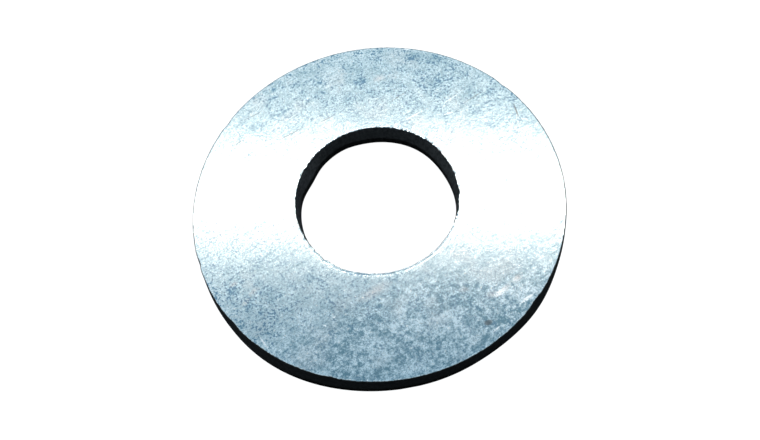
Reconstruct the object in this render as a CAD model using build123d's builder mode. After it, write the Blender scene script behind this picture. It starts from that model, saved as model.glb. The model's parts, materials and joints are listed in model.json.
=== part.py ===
"""Flat washer of the large metric series for an M16 bolt: 17 mm bore, 40 mm outside, 3 mm thick.

The washer is one ring of plated steel, pierced and blanked from 3 mm strip by one stroke of a
compound die. The die leaves the same wall on the rim and in the bore. From the lower face up, it is:
  - the die roll, where the lower face is drawn round the corner before the steel is cut
  - the burnished land, the straight wall that the tool wipes smooth and that sets the size
  - the breakout, where the rest of the thickness tears and the wall leans into the steel
  - the upper corner, broken by the tumbling that takes the burr off before plating

Frame: millimetres, +Z up along the bore. The origin is on the bore's axis in the lower face, which
is the face that rests on the work. The die rolls are on the lower face.
"""

import os

from build123d import *

# Standard sizes of the washer
OUTSIDE_DIAMETER = 40.0
BORE_DIAMETER = 17.0
THICKNESS = 3.0

# Sheared walls, the same on the rim and in the bore
DIE_ROLL_RADIUS = 0.25
LAND_TOP = 1.1
BREAKOUT_LEAN = 0.2
CORNER_BREAK_RADIUS = 0.1

rim_radius = OUTSIDE_DIAMETER / 2
bore_radius = BORE_DIAMETER / 2


# The ring: half of its cross-section is drawn on the XZ plane, where the sketch's second axis is
# the washer's height, and is turned about the bore's axis. Each wall is straight up to the top of
# the land, and leans into the steel from there up to the upper face.
with BuildPart() as flat_washer:
    with BuildSketch(Plane.XZ):
        with BuildLine():
            Polyline(
                (bore_radius, 0),
                (rim_radius, 0),
                (rim_radius, LAND_TOP),
                (rim_radius - BREAKOUT_LEAN, THICKNESS),
                (bore_radius + BREAKOUT_LEAN, THICKNESS),
                (bore_radius, LAND_TOP),
                close=True,
            )
        make_face()
    revolve(axis=Axis.Z)

    # Every corner of the ring is a circle about Z: the lowest two are in the lower face
    lower_corners = flat_washer.edges().filter_by(GeomType.CIRCLE).group_by(Axis.Z)[0]
    fillet(lower_corners, radius=DIE_ROLL_RADIUS)

    # The highest two are in the upper face
    upper_corners = flat_washer.edges().filter_by(GeomType.CIRCLE).group_by(Axis.Z)[-1]
    fillet(upper_corners, radius=CORNER_BREAK_RADIUS)

flat_washer.part.label = "flat_washer"

os.makedirs("parts", exist_ok=True)
export_step(flat_washer.part, "parts/flat_washer.step")
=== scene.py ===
"""Looks of the flat washer: one ring of zinc-plated steel on a pale floor under a strip light.

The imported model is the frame. Its one node is replaced by a finer mesh of the same size, which adds
what the press, the tumbling barrel and the box of loose washers leave behind: uneven edges, torn
walls, nicks and a face that is not quite flat. The washer's lengths are in millimetres up to the
point where its mesh is made. The floor and the light are in metres.
"""

import json
import math

import bpy
from mathutils import Matrix, Vector, noise


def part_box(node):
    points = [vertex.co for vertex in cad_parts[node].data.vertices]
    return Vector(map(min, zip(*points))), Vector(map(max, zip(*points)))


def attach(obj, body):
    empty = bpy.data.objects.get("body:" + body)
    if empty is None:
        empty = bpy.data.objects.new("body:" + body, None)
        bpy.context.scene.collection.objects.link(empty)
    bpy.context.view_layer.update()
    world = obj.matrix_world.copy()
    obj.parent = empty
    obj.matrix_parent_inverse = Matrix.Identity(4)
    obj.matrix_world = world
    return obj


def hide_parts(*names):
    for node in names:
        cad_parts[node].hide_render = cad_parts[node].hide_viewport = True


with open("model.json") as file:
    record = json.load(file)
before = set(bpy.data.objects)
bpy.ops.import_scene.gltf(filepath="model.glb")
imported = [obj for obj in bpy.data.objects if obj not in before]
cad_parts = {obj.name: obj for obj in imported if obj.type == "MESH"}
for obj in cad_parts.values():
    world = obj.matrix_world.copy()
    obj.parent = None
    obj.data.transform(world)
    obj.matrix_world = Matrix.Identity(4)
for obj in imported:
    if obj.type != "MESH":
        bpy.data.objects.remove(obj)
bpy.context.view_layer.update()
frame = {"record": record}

MM = 0.001
NODE = "flat_washer"
SLOT = "zinc_plated_steel"

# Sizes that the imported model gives
lowest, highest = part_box(NODE)
rim_radius = (highest.x - lowest.x) / 2 / MM
thickness = (highest.z - lowest.z) / MM
bore_mount = next(mount for mount in frame["record"]["mounts"] if mount["kind"] == "bore")
bore_radius = bore_mount["dims"]["r_mm"]
middle_radius = (rim_radius + bore_radius) / 2

# Sheared walls, as in the CAD model
DIE_ROLL = 0.25
LAND_TOP = 1.1
BREAKOUT_LEAN = 0.2
CORNER_BREAK = 0.1


# ---------------------------------------------------------------------------------- the ring's mesh

# Points round the ring, and points across each zone of its section
AROUND = 1000
LOWER_ROWS = 14
ROLL_ROWS = 5
LAND_ROWS = 4
TEAR_ROWS = 11
CORNER_ROWS = 6
UPPER_ROWS = 26

# Both faces are a little wavy, and the upper one droops at its edges, most of all towards -Y
FACE_WAVE_DEPTH = 0.012
FACE_WAVE_LENGTH = 9.0
DROOP_DEPTH = 0.012
DROOP_LENGTH = 0.14

# The line between land and breakout wanders by up to this share of its height. The length of its
# swells is in radii of the wall.
LAND_UNEVENNESS = 0.3
LAND_WAVE_LENGTH = 0.2

# The torn part of a wall has hollows, and upright teeth that are deepest at the upper corner. Each
# wall takes its share of both: the tumbling has worn them down on the rim.
TEAR_DEPTH = 0.02
TEAR_LENGTH = 0.5
TOOTH_DEPTH = 0.10
TOOTH_LENGTH = 0.2
RIM_TEAR_SHARE = 0.3
BORE_TEAR_SHARE = 1.0

# Radius of the rim's upper corner on the -Y side and on the +Y side. The bore's is as in the CAD model.
RIM_CORNER_NEAR = 0.15
RIM_CORNER_FAR = 0.26

# Width of the rubbed band at the edges of the upper face: tumbling wear with a painted highlight on it
RUBBED_HIGHLIGHT_WIDTH = 0.2

# Each unevenness takes its own part of the noise
RIM_LAND_SEED = 3.7
BORE_LAND_SEED = 8.1
TEAR_SEED = 5.9
TOOTH_SEED = 1.3
UPPER_WAVE_SEED = 2.2
LOWER_WAVE_SEED = 4.4
UPPER_WAVE_HEIGHT = 0
LOWER_WAVE_HEIGHT = 9

# Nicks in the upper edges: direction from the axis in degrees, half-width along the edge, depth
BORE_NICKS = (
    (-6.8, 0.30, 0.12),
    (-20.5, 0.35, 0.12),
    (-137.6, 0.30, 0.12),
    (-124.6, 0.90, 0.08),
)
RIM_NICKS = (
    (-168.7, 0.50, 0.12),
    (-146.0, 0.70, 0.10),
    (-112.0, 0.60, 0.08),
    (-47.0, 0.80, 0.10),
    (35.0, 0.60, 0.08),
    (140.0, 0.70, 0.08),
)

# Where the lower part of a wall bulges out of the steel, or into it where the height is negative:
# direction from the axis in degrees, spread in degrees, height
BORE_BULGES = ((19, 25, 0.30), (145, 13, 0.33), (108, 12, -0.12))
RIM_BULGES = ((-132, 24, 0.33), (-46, 11, 0.14), (-66, 10, -0.06))


def wave(x, y, z, length, seed):
    """Smooth noise between -1 and 1 whose swells are about one length across."""
    return noise.noise(Vector((x / length + seed, y / length - seed, z / length + 2 * seed)))


def hill(angle, direction_deg, spread):
    """1 in one direction from the axis, falling to 1/e one spread away; angle and spread in radians."""
    turn = math.remainder(angle - math.radians(direction_deg), 2 * math.pi)
    return math.exp(-((turn / spread) ** 2))


def bulge(angle, bulges):
    """How far the lower part of a wall stands out of the steel at one angle."""
    return sum(
        height * hill(angle, direction, math.radians(spread)) for direction, spread, height in bulges
    )


def nick(angle, nicks, edge_radius):
    """How deep an upper edge is nicked at one angle."""
    return sum(depth * hill(angle, direction, width / edge_radius) for direction, width, depth in nicks)


def line(start, end, count, zone):
    """Section points from start up to, but not at, end: each is (radius, height, zone)."""
    across, up = end[0] - start[0], end[1] - start[1]
    steps = [i / count for i in range(count)]
    return [(start[0] + across * t, start[1] + up * t, zone) for t in steps]


def arc(centre, radius, start_deg, end_deg, count, zone):
    """Section points round an arc from start_deg up to, but not at, end_deg."""
    angles = [math.radians(start_deg + (end_deg - start_deg) * i / count) for i in range(count)]
    return [(centre[0] + radius * math.cos(a), centre[1] + radius * math.sin(a), zone) for a in angles]


def upper_face(rim_edge, bore_edge, droop_depth):
    """Section points over the upper face, closest together at its two edges, where it droops."""
    points = []
    for i in range(UPPER_ROWS):
        share = (1 - math.cos(math.pi * i / UPPER_ROWS)) / 2
        radius = rim_edge + (bore_edge - rim_edge) * share
        to_edge = min(rim_edge - radius, radius - bore_edge)
        droop = droop_depth * math.exp(-to_edge / DROOP_LENGTH)
        points.append((radius, thickness - droop, "upper"))
    return points


def rim_corner(angle):
    """Radius of the rim's upper corner, which the tumbling has broken most on the +Y side."""
    return RIM_CORNER_NEAR + (RIM_CORNER_FAR - RIM_CORNER_NEAR) * (1 + math.sin(angle)) / 2


def land_height(x, y, seed):
    """Height at which a wall's land ends and its breakout starts, in the direction (x, y)."""
    return LAND_TOP * (1 + LAND_UNEVENNESS * wave(x, y, 0, LAND_WAVE_LENGTH, seed))


def section(angle):
    """The ring's half-section at one angle, anticlockwise from the lower end of the bore."""
    x, y = math.cos(angle), math.sin(angle)

    # Radius of each wall on its land, inside the CAD model's box
    rim = rim_radius + bulge(angle, RIM_BULGES)
    rim = min(rim, rim_radius / max(abs(x), abs(y)))
    bore = bore_radius - bulge(angle, BORE_BULGES)

    # Radius of each edge of the upper face, where the corner starts
    corner = rim_corner(angle)
    rim_flat = rim_radius - BREAKOUT_LEAN - CORNER_BREAK
    rim_flat -= nick(angle, RIM_NICKS, rim_flat)
    rim_flat -= corner - RIM_CORNER_NEAR
    bore_flat = bore_radius + BREAKOUT_LEAN + CORNER_BREAK
    bore_flat += nick(angle, BORE_NICKS, bore_flat)

    # Lower and upper end of each breakout
    rim_land = (rim, land_height(x, y, RIM_LAND_SEED))
    rim_top = (rim_flat + corner, thickness - corner)
    bore_land = (bore, land_height(x, y, BORE_LAND_SEED))
    bore_top = (bore_flat - CORNER_BREAK, thickness - CORNER_BREAK)

    points = line((bore + DIE_ROLL, 0), (rim - DIE_ROLL, 0), LOWER_ROWS, "lower")
    points += arc((rim - DIE_ROLL, DIE_ROLL), DIE_ROLL, -90, 0, ROLL_ROWS, "roll")
    points += line((rim, DIE_ROLL), rim_land, LAND_ROWS, "land")
    points += line(rim_land, rim_top, TEAR_ROWS, "tear")
    points += arc((rim_flat, thickness - corner), corner, 0, 90, CORNER_ROWS, "corner")
    points += upper_face(rim_flat, bore_flat, DROOP_DEPTH * (1 - y) / 2)
    points += arc((bore_flat, thickness - CORNER_BREAK), CORNER_BREAK, 90, 180, CORNER_ROWS, "corner")
    points += line(bore_top, bore_land, TEAR_ROWS, "tear")
    points += line(bore_land, (bore, DIE_ROLL), LAND_ROWS, "land")
    points += arc((bore + DIE_ROLL, DIE_ROLL), DIE_ROLL, 180, 270, ROLL_ROWS, "roll")
    return points


def torn(x, y, height, depth_share):
    """How far a torn wall stands back into the steel at one point, growing from the land upwards."""
    rise = min(1.0, max(0.0, (height - LAND_TOP) / (thickness - LAND_TOP)))
    hollow = TEAR_DEPTH * wave(x, y, height, TEAR_LENGTH, TEAR_SEED)
    tooth = TOOTH_DEPTH * wave(x, y, 0, TOOTH_LENGTH, TOOTH_SEED)
    return rise * depth_share * (hollow + tooth)


def face_wave(x, y, z, seed):
    """How far a face stands back into the steel at one point."""
    return FACE_WAVE_DEPTH * (1 + wave(x, y, z, FACE_WAVE_LENGTH, seed)) / 2


def surface_point(angle, radius, height, zone):
    """One point of the mesh in metres, after the tearing of the walls and the waviness of the faces."""
    x, y = radius * math.cos(angle), radius * math.sin(angle)
    if zone in ("tear", "corner"):
        if radius > middle_radius:
            radius -= torn(x, y, height, RIM_TEAR_SHARE)
        else:
            radius += torn(x, y, height, BORE_TEAR_SHARE)
    if zone in ("upper", "corner"):
        height -= face_wave(x, y, UPPER_WAVE_HEIGHT, UPPER_WAVE_SEED)
    if zone == "lower":
        height += face_wave(x, y, LOWER_WAVE_HEIGHT, LOWER_WAVE_SEED)

    # Neither a bulge nor a tooth stands out of the CAD model's box
    x = max(-rim_radius, min(rim_radius, radius * math.cos(angle)))
    y = max(-rim_radius, min(rim_radius, radius * math.sin(angle)))
    return (x * MM, y * MM, height * MM)


def wall_share(angle, radius, height, zone):
    """0 on the two faces and 1 on the cut walls, rising round each corner."""
    if zone == "corner":
        corner = rim_corner(angle) if radius > middle_radius else CORNER_BREAK
        return min(1.0, (thickness - height) / corner)
    if zone == "roll":
        return min(1.0, height / DIE_ROLL)
    return 1.0 if zone in ("land", "tear") else 0.0


def rubbed_highlight_share(radius, zone):
    """1 at the rubbed edges of the upper face, fading to 0 across it: wear that carries a painted
    highlight.
    """
    if zone == "corner":
        return 1.0
    if zone != "upper":
        return 0.0
    inset = BREAKOUT_LEAN + CORNER_BREAK
    to_edge = min(rim_radius - inset - radius, radius - bore_radius - inset)
    return math.exp(-((max(0.0, to_edge) / RUBBED_HIGHLIGHT_WIDTH) ** 2))


def make_ring():
    """Builds the washer as one closed mesh, marked with where its walls are and where its rubbed edges
    carry a painted highlight.
    """
    verts, walls, edges = [], [], []
    for j in range(AROUND):
        angle = 2 * math.pi * j / AROUND
        for radius, height, zone in section(angle):
            verts.append(surface_point(angle, radius, height, zone))
            walls.append(wall_share(angle, radius, height, zone))
            edges.append(rubbed_highlight_share(radius, zone))
    rows = len(verts) // AROUND
    faces = []
    for j in range(AROUND):
        next_j = (j + 1) % AROUND
        for i in range(rows):
            next_i = (i + 1) % rows
            faces.append((j * rows + i, next_j * rows + i, next_j * rows + next_i, j * rows + next_i))
    mesh = bpy.data.meshes.new("washer_ring")
    mesh.from_pydata(verts, [], faces)
    mesh.attributes.new("wall", "FLOAT", "POINT").data.foreach_set("value", walls)
    mesh.attributes.new("edge", "FLOAT", "POINT").data.foreach_set("value", edges)
    mesh.shade_smooth()
    mesh.validate()
    ring = bpy.data.objects.new("washer_ring", mesh)
    bpy.context.scene.collection.objects.link(ring)
    return ring


# ------------------------------------------------------------------------------------ shader nodes

# A Mix node has sockets for each type of data: the places of its two inputs and of its output
MIX_SOCKETS = {"RGBA": (6, 7, 2), "FLOAT": (2, 3, 0)}


class Nodes:
    """Adds shader nodes to one tree, so that a material reads as a list of steps."""

    def __init__(self, tree):
        self.tree = tree
        self.tree.nodes.clear()

    def add(self, kind, settings=None, **inputs):
        """A new node; the name of an input has _ where the socket's name has a space."""
        node = self.tree.nodes.new(kind)
        for name, value in (settings or {}).items():
            setattr(node, name, value)
        for name, value in inputs.items():
            self.feed(node.inputs[name.replace("_", " ")], value)
        return node

    def feed(self, socket, value):
        """Links the socket to another node's output, or sets its value."""
        if isinstance(value, bpy.types.NodeSocket):
            self.tree.links.new(value, socket)
        else:
            socket.default_value = value

    def math(self, operation, a, b=0.0, c=0.0, clamp=False):
        """The result of one Math node."""
        node = self.add("ShaderNodeMath", {"operation": operation, "use_clamp": clamp})
        for socket, value in zip(node.inputs, (a, b, c)):
            self.feed(socket, value)
        return node.outputs[0]

    def sway(self, total, pattern, gain):
        """The total, raised where the pattern is above 0.5 and lowered where it is below."""
        return self.math("MULTIPLY_ADD", self.math("SUBTRACT", pattern, 0.5), gain, total)

    def ramp(self, value, low, high, to_low=0.0, to_high=1.0):
        """Rises smoothly from to_low to to_high as value goes from low to high."""
        node = self.add("ShaderNodeMapRange", {"interpolation_type": "SMOOTHSTEP"})
        for socket, number in zip(node.inputs, (value, low, high, to_low, to_high)):
            self.feed(socket, number)
        return node.outputs[0]

    def between(self, data_type, share, a, b):
        """The result of one Mix node: a where share is 0 and b where it is 1."""
        node = self.add("ShaderNodeMix", {"data_type": data_type})
        a_place, b_place, result_place = MIX_SOCKETS[data_type]
        self.feed(node.inputs[0], share)
        self.feed(node.inputs[a_place], a)
        self.feed(node.inputs[b_place], b)
        return node.outputs[result_place]

    def mix(self, share, a, b):
        """Colour a where share is 0 and colour b where it is 1."""
        return self.between("RGBA", share, a, b)

    def blend(self, share, a, b):
        """Value a where share is 0 and value b where it is 1."""
        return self.between("FLOAT", share, a, b)

    def scale(self, vector, factor):
        """The vector or colour times the factor."""
        node = self.add("ShaderNodeVectorMath", {"operation": "SCALE"}, Vector=vector, Scale=factor)
        return node.outputs[0]

    def place(self, vector, shift=(0, 0, 0), turn=0.0, size=(1, 1, 1)):
        """Coordinates measured from shift, along axes turned by turn degrees, in units of size."""
        node = self.add("ShaderNodeMapping", {"vector_type": "TEXTURE"}, Vector=vector)
        node.inputs["Location"].default_value = shift
        node.inputs["Rotation"].default_value = (0, 0, math.radians(turn))
        node.inputs["Scale"].default_value = size
        return node.outputs[0]

    def noise(self, vector, length, detail, roughness=0.5):
        """Noise from 0 to 1 whose largest swells are about one length across."""
        node = self.add(
            "ShaderNodeTexNoise", Vector=vector, Scale=1 / length, Detail=detail, Roughness=roughness
        )
        return node.outputs["Fac"]

    def crystals(self, vector, length):
        """Cells about one length across, each with its own random value from 0 to 1."""
        node = self.add("ShaderNodeTexVoronoi", Vector=vector, Scale=1 / length)
        return node.outputs["Color"]

    def blot(self, vector):
        """1 at the origin of vector, falling to 0 at a length of 1."""
        node = self.add("ShaderNodeTexGradient", {"gradient_type": "SPHERICAL"}, Vector=vector)
        return node.outputs["Fac"]


# ------------------------------------------------------------------------- the material: both faces

# Colour of a bright and of a dull spot, of a pit, of an iridescent patch, of a bright scratch or
# flake, and of the steel in a dark scratch
ZINC = (0.90, 0.98, 1.00, 1)
ZINC_DULL = (0.215, 0.35, 0.405, 1)
PIT = (0.07, 0.20, 0.31, 1)
ZINC_PINK = (0.88, 0.77, 0.72, 1)
ZINC_CLEAN = (0.96, 0.97, 0.98, 1)
BARED_STEEL = (0.14, 0.14, 0.14, 1)

# Size of each pattern's largest swells. Scuffs lie along the rolling direction, in degrees, and are
# this many times longer than wide.
CLOUD_LENGTH = 4.0
MOTTLE_LENGTH = 0.55
GRAIN_LENGTH = 0.13
CRYSTAL_LENGTH = 0.12
PIT_LENGTH = 0.235
CLUSTER_LENGTH = 1.6
TINT_LENGTH = 3.0
SCUFF_WIDTH = 0.16
SCUFF_STRETCH = 12
ROLLING_DIRECTION = 21.0

# These patterns take their own part of the noise
CRYSTAL_SHIFT = (6, 4, 1)
PIT_SHIFT = (9, 2, 4)
CLUSTER_SHIFT = (3, 5, 7)
TINT_SHIFT = (1, 8, 2)

# The face has a near part, towards -Y, and a far part. The lines where the one ends and the other
# starts gain this much in Y for each mm of X, and cross X = 0 at these values of Y.
FAR_SLOPE = 0.4
NEAR_END = -14
FAR_START = -6

# How strongly each pattern shows on the near part and on the far part, which is more even, but more
# grainy and pitted
MOTTLE_GAINS = (4.1, 1.1)
CLOUD_GAINS = (1.1, 0.5)
GRAIN_GAINS = (0.4, 0.6)
PIT_SHARES = (0.5, 0.85)

# How much the other patterns and the marks brighten the face, or darken it
CRYSTAL_GAIN = 0.55
SCUFF_GAIN = -0.25
PITTED_PATCH_GAIN = -0.12
BRIGHT_SCRATCH_GAIN = 0.6
# The rubbed edges are brightened by wear and by a painted highlight
RUBBED_EDGE_HIGHLIGHT_GAIN = 0.15

# A pit is where its noise is high. The noise is higher in clusters, in the pitted patches and on the
# far part.
CLUSTER_GAIN = 0.5
PATCH_PITTING = 0.15
FAR_PITTING = 0.02

# The face is cleaner across its middle: where that belt crosses X = 0, how far it drops for each mm
# of X, its half-width, and the share of the pits that is left in it. Of the coarse patterns the
# square of that share is left, and the fine ones stay.
MIDDLE_Y = 1.1
MIDDLE_SLOPE = 0.21
MIDDLE_HALF_WIDTH = 6.5
MIDDLE_STRENGTH = 0.45

# Values between which a noise or a mark goes from not showing to showing in full
PIT_LIMITS = (0.6, 0.65)
SCUFF_LIMITS = (0.58, 0.72)
TINT_LIMITS = (0.5, 0.72)
BROKEN_LIMITS = (0.28, 0.5)
BRIGHT_LIMITS = (0.1, 0.5)
DARK_LIMITS = (0.1, 0.6)

# How much of its own colour each of these has where it shows in full
TINT_SHARE = 0.16
PINK_SHARE = 0.6
BRIGHT_SHARE = 0.8
DARK_SHARE = 0.75

# Roughness, and what it gains towards +X, between two values of X
FACE_ROUGHNESS = 0.187
PIT_ROUGHNESS = 0.21
BRIGHT_ROUGHNESS = 0.25
SIDE_ROUGHNESS = 0.008
SIDE_LIMITS = (4, 16)

# Height of each pattern in the relief
GRAIN_RELIEF = 0.0005
MOTTLE_RELIEF = 0.0013
SCUFF_RELIEF = 0.0003

# Marks on the upper face: middle x and y, direction in degrees, length, width
DARK_SCRATCHES = (
    (-8.1, 9.8, 21, 4.7, 0.18),
    (16.9, 7.5, -87, 2.6, 0.26),
    (-14.0, 9.9, 30, 2.6, 0.14),
    (-3.9, 10.9, 18, 3.0, 0.14),
    (12.6, 10.2, 24, 4.0, 0.12),
    (4.5, 12.1, 26, 3.2, 0.12),
    (-12.2, 13.1, 20, 3.6, 0.12),
    (8.5, -15.8, 10, 1.2, 0.8),
)
BRIGHT_SCRATCHES = (
    (10.4, 10.7, 28, 3.8, 0.11),
    (5.8, 9.3, 20, 3.5, 0.11),
    (9.6, 8.7, 6, 1.6, 0.18),
    (-13.5, -13.7, -63, 2.1, 0.24),
    (-7.3, -13.1, -33, 0.7, 0.2),
    (12.9, -14.0, 24, 1.8, 0.4),
    (12.4, -14.3, 22, 1.2, 0.22),
    (-6.3, -12.4, 10, 0.4, 0.2),
    (9.1, -16.6, 30, 1.3, 0.22),
    (10.3, -13.0, 25, 2.0, 0.7),
    (10.7, -12.8, 20, 0.8, 0.3),
    (6.6, 18.5, -10, 1.2, 0.5),
)
PINK_PATCHES = (
    (-14.0, -8.1, 35, 1.6, 0.7),
    (-14.9, -9.1, 30, 1.4, 0.8),
    (-16.0, -7.0, 30, 1.2, 0.7),
    (12.3, -11.8, 25, 1.6, 1.0),
    (9.5, -13.0, 15, 1.8, 1.0),
    (6.9, -12.0, 0, 1.2, 0.9),
    (11.0, -12.6, 30, 1.4, 0.8),
    (2.8, 15.1, 10, 2.0, 1.2),
    (-2.0, -10.5, 20, 5.0, 1.5),
)
PITTED_PATCHES = (
    (8.5, -15.8, 0, 2.2, 1.5),
    (-4.0, 14.5, 10, 2.0, 1.6),
    (0.5, 15.2, 10, 2.4, 1.6),
    (-11.9, 11.5, 15, 3.0, 2.0),
    (9.7, 16.1, -15, 3.6, 2.2),
    (7.0, 17.0, -10, 3.0, 2.0),
    (9.5, 13.0, 15, 6.0, 2.5),
)


def marks(n, mm, entries):
    """The strongest of several elliptical marks on the upper face, from 0 to 1."""
    strongest = 0.0
    for x, y, turn, length, width in entries:
        local = n.place(mm, (x, y, thickness), turn, (length / 2, width / 2, 1))
        strongest = n.math("MAXIMUM", strongest, n.blot(local))
    return strongest


def far_share(n, x, y):
    """0 on the near part of the face and 1 on the far part."""
    return n.ramp(n.math("MULTIPLY_ADD", x, -FAR_SLOPE, y), NEAR_END, FAR_START)


def belt_strength(n, x, y):
    """MIDDLE_STRENGTH in the belt across the middle of the face, rising to 1 on both sides of it."""
    from_middle = n.math("SUBTRACT", y, MIDDLE_Y)
    from_middle = n.math("ABSOLUTE", n.math("MULTIPLY_ADD", x, MIDDLE_SLOPE, from_middle))
    return n.ramp(from_middle, MIDDLE_HALF_WIDTH, 2 * MIDDLE_HALF_WIDTH, MIDDLE_STRENGTH, 1)


def pits(n, mm, pitted, far, strength):
    """1 in the dark pits and 0 between them."""
    cluster = n.noise(n.place(mm, CLUSTER_SHIFT), CLUSTER_LENGTH, detail=2, roughness=0.7)
    speck = n.noise(n.place(mm, PIT_SHIFT), PIT_LENGTH, detail=1, roughness=0.8)
    speck = n.sway(speck, cluster, CLUSTER_GAIN)
    speck = n.math("MULTIPLY_ADD", pitted, PATCH_PITTING, speck)
    speck = n.math("MULTIPLY_ADD", far, FAR_PITTING, speck)
    return n.math("MULTIPLY", n.ramp(speck, *PIT_LIMITS), strength)


def zinc_face(n, mm):
    """Colour, roughness and relief of the plated faces: cloudy, grainy, pitted and scratched."""
    axes = n.add("ShaderNodeSeparateXYZ", Vector=mm)
    x, y = axes.outputs["X"], axes.outputs["Y"]
    far = far_share(n, x, y)
    strength = belt_strength(n, x, y)

    cloud = n.noise(mm, CLOUD_LENGTH, detail=2, roughness=0.7)
    mottle = n.noise(mm, MOTTLE_LENGTH, detail=3, roughness=0.85)
    grain = n.noise(mm, GRAIN_LENGTH, detail=1)
    crystal = n.crystals(n.place(mm, CRYSTAL_SHIFT), CRYSTAL_LENGTH)
    along = n.place(mm, turn=ROLLING_DIRECTION, size=(SCUFF_STRETCH, 1, 1))
    scuff = n.noise(along, SCUFF_WIDTH, detail=1)
    tint = n.noise(n.place(mm, TINT_SHIFT), TINT_LENGTH, detail=2)

    # The grain breaks up the bright scratches and the pink patches
    broken = n.ramp(grain, *BROKEN_LIMITS)
    bright = n.math("MULTIPLY", marks(n, mm, BRIGHT_SCRATCHES), broken)
    pink = n.math("MULTIPLY", marks(n, mm, PINK_PATCHES), broken)
    dark = marks(n, mm, DARK_SCRATCHES)
    pitted = marks(n, mm, PITTED_PATCHES)
    pit = pits(n, mm, pitted, far, strength)
    edge = n.add("ShaderNodeAttribute", {"attribute_name": "edge"}).outputs["Fac"]

    # The coarse patterns, which are weaker in the belt
    pattern = n.sway(0.0, mottle, n.blend(far, *MOTTLE_GAINS))
    pattern = n.sway(pattern, cloud, n.blend(far, *CLOUD_GAINS))
    pattern = n.math("MULTIPLY", pattern, n.math("MULTIPLY", strength, strength))

    # The fine patterns
    pattern = n.sway(pattern, grain, n.blend(far, *GRAIN_GAINS))
    pattern = n.sway(pattern, crystal, CRYSTAL_GAIN)
    pattern = n.math("MULTIPLY_ADD", n.ramp(scuff, *SCUFF_LIMITS), SCUFF_GAIN, pattern)

    # From 0 where the face is dull to 1 where it is bright
    level = n.math("ADD", pattern, 0.5)
    level = n.math("MULTIPLY_ADD", pitted, PITTED_PATCH_GAIN, level)
    level = n.math("MULTIPLY_ADD", bright, BRIGHT_SCRATCH_GAIN, level, clamp=True)
    # Brightens the rubbed edges: wear, and a painted edge highlight
    level = n.math("MULTIPLY_ADD", edge, RUBBED_EDGE_HIGHLIGHT_GAIN, level, clamp=True)

    tinted = n.ramp(tint, *TINT_LIMITS, 0, TINT_SHARE)
    pinkness = n.math("MAXIMUM", tinted, n.math("MULTIPLY", pink, PINK_SHARE))
    pit_share = n.math("MULTIPLY", pit, n.blend(far, *PIT_SHARES))
    colour = n.mix(level, ZINC_DULL, ZINC)
    colour = n.mix(pinkness, colour, ZINC_PINK)
    colour = n.mix(pit_share, colour, PIT)
    colour = n.mix(n.ramp(bright, *BRIGHT_LIMITS, 0, BRIGHT_SHARE), colour, ZINC_CLEAN)
    colour = n.mix(n.ramp(dark, *DARK_LIMITS, 0, DARK_SHARE), colour, BARED_STEEL)

    rough = n.ramp(pit, 0, 1, FACE_ROUGHNESS, PIT_ROUGHNESS)
    rough = n.math("ADD", rough, n.ramp(x, *SIDE_LIMITS, 0, SIDE_ROUGHNESS))
    rough = n.blend(n.ramp(bright, *BRIGHT_LIMITS), rough, BRIGHT_ROUGHNESS)

    relief = n.math("MULTIPLY_ADD", grain, GRAIN_RELIEF, n.math("MULTIPLY", mottle, MOTTLE_RELIEF))
    relief = n.math("MULTIPLY_ADD", scuff, SCUFF_RELIEF, relief)
    return colour, rough, relief


# -------------------------------------------------------------------------- the material: the walls

# Colour of a bright and of a dark spot in the bore: sheared steel, made darker by painted shade. The
# rim's walls have this share of that brightness, which is more painted shade. The distance from the
# origin tells them apart: the change lies between the walls, this far from each.
SHEARED_STEEL_AND_SHADE = (0.20, 0.21, 0.22, 1)
SHEARED_DARK_AND_SHADE = (0.09, 0.095, 0.10, 1)
RIM_PAINTED_SHADE = 0.45
RIM_SHADE_MARGIN = 2

# Upright scores on the land: width, and how many times longer they are
SCORE_WIDTH = 0.3
SCORE_STRETCH = 12

# Size of the torn patches, and how much of their noise adds to the height before it is compared with
# the two heights between which the look of the land gives way to that of the breakout
PATCH_LENGTH = 0.35
PATCH_SHIFT = 0.5
BREAKOUT_START = LAND_TOP + 0.15
BREAKOUT_FULL = LAND_TOP + 0.35

# Values between which the pattern goes from dark to bright, roughness of each zone, and height of
# the pattern in the relief
WALL_LIMITS = (0.3, 0.75)
LAND_ROUGHNESS = 0.40
BREAKOUT_ROUGHNESS = 0.60
WALL_RELIEF = 0.01

# A wall's look starts on its corner, between two values of the wall's mark plus some of a noise
WALL_START = (0.15, 0.4)
RAGGED_LENGTH = 0.25
RAGGED_GAIN = 0.3


def sheared_wall(n, mm):
    """Colour, roughness and relief of the cut walls: upright scoring on the land, tearing above it, and
    painted shade that is deepest on the rim.
    """
    upright = n.place(mm, size=(1, 1, SCORE_STRETCH))
    scoring = n.noise(upright, SCORE_WIDTH, detail=3, roughness=0.6)
    tearing = n.noise(mm, PATCH_LENGTH, detail=4, roughness=0.7)
    height = n.add("ShaderNodeSeparateXYZ", Vector=mm).outputs["Z"]
    height = n.math("MULTIPLY_ADD", tearing, PATCH_SHIFT, height)
    torn_share = n.ramp(height, BREAKOUT_START, BREAKOUT_FULL)
    level = n.blend(torn_share, scoring, tearing)

    from_origin = n.add("ShaderNodeVectorMath", {"operation": "LENGTH"}, Vector=mm).outputs["Value"]
    # The rim's walls are darker still: painted shade
    rim_painted_shade = n.ramp(from_origin, bore_radius + RIM_SHADE_MARGIN, rim_radius - RIM_SHADE_MARGIN, 1, RIM_PAINTED_SHADE)
    colour = n.mix(n.ramp(level, *WALL_LIMITS), SHEARED_DARK_AND_SHADE, SHEARED_STEEL_AND_SHADE)
    colour = n.scale(colour, rim_painted_shade)
    rough = n.ramp(torn_share, 0, 1, LAND_ROUGHNESS, BREAKOUT_ROUGHNESS)
    relief = n.math("MULTIPLY", level, WALL_RELIEF)
    return colour, rough, relief


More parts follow.
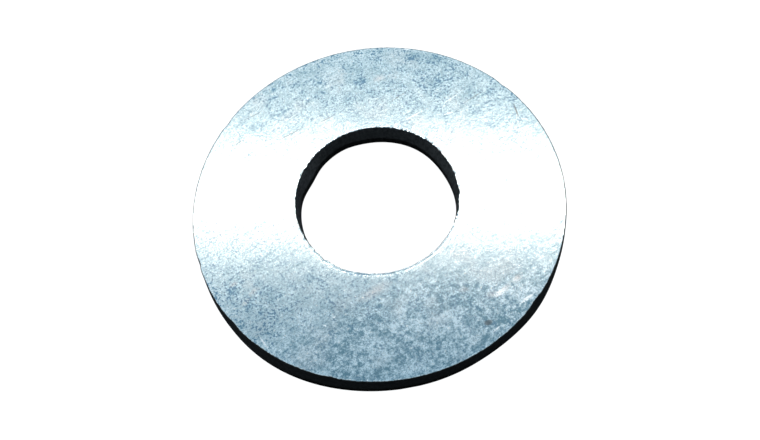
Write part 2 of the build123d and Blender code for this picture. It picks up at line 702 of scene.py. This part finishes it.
def make_zinc():
    """Blue-passivated zinc on rolled strip, with cut walls that are darker, partly by painted shade."""
    material = bpy.data.materials.new(SLOT)
    material.use_nodes = True
    n = Nodes(material.node_tree)
    mm = n.scale(n.add("ShaderNodeTexCoord").outputs["Object"], 1 / MM)
    face_colour, face_rough, face_relief = zinc_face(n, mm)
    wall_colour, wall_rough, wall_relief = sheared_wall(n, mm)

    wall = n.add("ShaderNodeAttribute", {"attribute_name": "wall"}).outputs["Fac"]
    ragged = n.noise(mm, RAGGED_LENGTH, detail=1)
    on_wall = n.ramp(n.math("MULTIPLY_ADD", ragged, RAGGED_GAIN, wall), *WALL_START)

    colour = n.mix(on_wall, face_colour, wall_colour)
    rough = n.blend(on_wall, face_rough, wall_rough)
    relief = n.blend(on_wall, face_relief, wall_relief)
    bump = n.add("ShaderNodeBump", Height=relief, Strength=1.0, Distance=MM)
    shader = n.add(
        "ShaderNodeBsdfPrincipled", Base_Color=colour, Metallic=1.0, Roughness=rough,
        Normal=bump.outputs[0],
    )
    n.add("ShaderNodeOutputMaterial", Surface=shader.outputs[0])
    return material


washer = make_ring()
washer.data.materials.append(make_zinc())
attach(washer, "root")
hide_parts(NODE)


# ------------------------------------------------------------------------------------------- floor

# The floor is a disc just under the washer, with a dome of the same radius on its edge
FLOOR_RADIUS = 1.2
FLOOR_DROP = 0.0002
DISC_ROWS = 6
DOME_ROWS = 24
FLOOR_AROUND = 96

FLOOR_GREY = (0.3, 0.3, 0.3, 1)
FLOOR_GLOW_COLOUR = (1, 1, 1, 1)
FLOOR_GLOW = 0.95


def make_pale():
    """A plain pale material that glows, so that it looks the same however it is lit."""
    material = bpy.data.materials.new("pale_floor")
    material.use_nodes = True
    n = Nodes(material.node_tree)
    shader = n.add(
        "ShaderNodeBsdfPrincipled", Base_Color=FLOOR_GREY, Roughness=1.0,
        Emission_Color=FLOOR_GLOW_COLOUR, Emission_Strength=FLOOR_GLOW,
    )
    n.add("ShaderNodeOutputMaterial", Surface=shader.outputs[0])
    return material


def make_floor():
    """A pale floor under a dome, so that every view ends in the same plain white."""
    profile = [(FLOOR_RADIUS * i / DISC_ROWS, -FLOOR_DROP) for i in range(DISC_ROWS)]
    rises = [math.pi / 2 * i / DOME_ROWS for i in range(DOME_ROWS)]
    profile += [(FLOOR_RADIUS * math.cos(rise), FLOOR_RADIUS * math.sin(rise)) for rise in rises]
    rows = len(profile)
    verts = []
    faces = []
    for j in range(FLOOR_AROUND):
        angle = 2 * math.pi * j / FLOOR_AROUND
        x, y = math.cos(angle), math.sin(angle)
        verts += [(radius * x, radius * y, height) for radius, height in profile]
        next_j = (j + 1) % FLOOR_AROUND
        for i in range(rows - 1):
            faces.append((j * rows + i, next_j * rows + i, next_j * rows + i + 1, j * rows + i + 1))
    mesh = bpy.data.meshes.new("studio_floor")
    mesh.from_pydata(verts, [], faces)
    mesh.materials.append(make_pale())
    floor = bpy.data.objects.new("studio_floor", mesh)
    bpy.context.scene.collection.objects.link(floor)

    # The metal doesn't mirror it, and it neither lights nor shades the washer
    floor.visible_glossy = False
    floor.visible_diffuse = False
    floor.visible_shadow = False


# ------------------------------------------------------------------------------------------ lights

# The strip light: direction and distance from the washer, size, turn of its long side about the
# vertical in degrees, radiance and colour
STRIP_DIRECTION = (0, 0.54, 1)
STRIP_DISTANCE = 0.57
STRIP_LENGTH = 1.1
STRIP_WIDTH = 0.015
STRIP_TURN = -11
STRIP_RADIANCE = 23.8
STRIP_COLOUR = (1.0, 0.84, 0.72)

# The sky's colour straight down, at places from 0 there to 1 straight up, and straight up
SKY_LOWEST = (0.003, 0.003, 0.003, 1)
SKY_BETWEEN = (
    (0.47, (0.005, 0.005, 0.005, 1)),
    (0.53, (0.50, 0.56, 0.60, 1)),
    (0.75, (0.70, 0.84, 0.93, 1)),
    (0.90, (0.72, 0.90, 1.00, 1)),
    (0.956, (0.43, 0.59, 0.70, 1)),
    (0.987, (0.30, 0.455, 0.57, 1)),
)
SKY_HIGHEST = (0.27, 0.42, 0.53, 1)

# Towards -Y the sky's colours lie higher up, and furthest that way the sky is dimmer. Each change
# lies between two values of the direction's Y.
FRONT_LIFT = 0.08
LIFT_LIMITS = (-0.6, 0.1)
FRONT_SHADE = 0.3
SHADE_LIMITS = (-0.95, -0.6)


def make_world():
    """Cool soft light from above, paler near the horizon and nearly dark below it."""
    world = bpy.data.worlds.new("soft_studio")
    world.use_nodes = True
    bpy.context.scene.world = world
    n = Nodes(world.node_tree)
    direction = n.add("ShaderNodeTexCoord").outputs["Generated"]
    axes = n.add("ShaderNodeSeparateXYZ", Vector=direction)
    up, away = axes.outputs["Z"], axes.outputs["Y"]
    lift = n.ramp(away, *LIFT_LIMITS, FRONT_LIFT, 0)
    share = n.math("SUBTRACT", n.math("MULTIPLY_ADD", up, 0.5, 0.5), lift)
    ramp = n.add("ShaderNodeValToRGB", Fac=share)

    # A new ramp has one stop at each end
    stops = ramp.color_ramp.elements
    stops[0].color = SKY_LOWEST
    stops[1].color = SKY_HIGHEST
    for position, colour in SKY_BETWEEN:
        stops.new(position).color = colour
    strength = n.ramp(away, *SHADE_LIMITS, FRONT_SHADE, 1)
    background = n.add("ShaderNodeBackground", Color=ramp.outputs[0], Strength=strength)
    n.add("ShaderNodeOutputWorld", Surface=background.outputs[0])


def make_strip():
    """A long narrow light that faces the washer, its long side level: the bright band mirrors it."""
    light = bpy.data.lights.new("strip_light", "AREA")
    light.shape = "RECTANGLE"
    light.size = STRIP_LENGTH
    light.size_y = STRIP_WIDTH
    light.energy = STRIP_RADIANCE * math.pi * STRIP_LENGTH * STRIP_WIDTH
    light.color = STRIP_COLOUR
    turn = math.radians(STRIP_TURN)
    back = Vector(STRIP_DIRECTION).normalized()
    side = Vector((math.cos(turn), math.sin(turn), 0))
    side = (side - side.dot(back) * back).normalized()
    turned = Matrix((side, back.cross(side), back)).transposed()
    lamp = bpy.data.objects.new("strip_light", light)
    lamp.matrix_world = Matrix.Translation(back * STRIP_DISTANCE) @ turned.to_4x4()
    bpy.context.scene.collection.objects.link(lamp)


make_floor()
make_world()
make_strip()


# ------------------------------------------------------------------------------------------ camera

# The camera stands on the -Y side: elevation and roll in degrees, and its distance from the point
# that it aims at, which are both in rim radii
CAMERA_ELEVATION = 63.8
CAMERA_ROLL = -10.4
CAMERA_DISTANCE = 4.253
CAMERA_AIM = (-0.0033, -0.0638, 0)

# Lens and sensor in millimetres, and the nearest thing that the camera sees in metres
CAMERA_LENS = 37.0
CAMERA_SENSOR = 36.0
CAMERA_CLIP = 0.005


def make_camera():
    """The photograph's view: from above and in front, a little rolled, close to the washer."""
    camera = bpy.data.cameras.new("camera")
    camera.lens = CAMERA_LENS
    camera.sensor_width = CAMERA_SENSOR
    camera.clip_start = CAMERA_CLIP
    elevation = math.radians(CAMERA_ELEVATION)
    back = Vector((0, -math.cos(elevation), math.sin(elevation)))
    aim = Vector(CAMERA_AIM) * rim_radius * MM
    distance = CAMERA_DISTANCE * rim_radius * MM
    upright = back.to_track_quat("Z", "Y").to_matrix().to_4x4()
    roll = Matrix.Rotation(math.radians(CAMERA_ROLL), 4, "Z")
    holder = bpy.data.objects.new("camera", camera)
    holder.matrix_world = Matrix.Translation(aim + back * distance) @ upright @ roll
    bpy.context.scene.collection.objects.link(holder)
    bpy.context.scene.camera = holder


make_camera()
bpy.context.scene.view_settings.view_transform = "Standard"
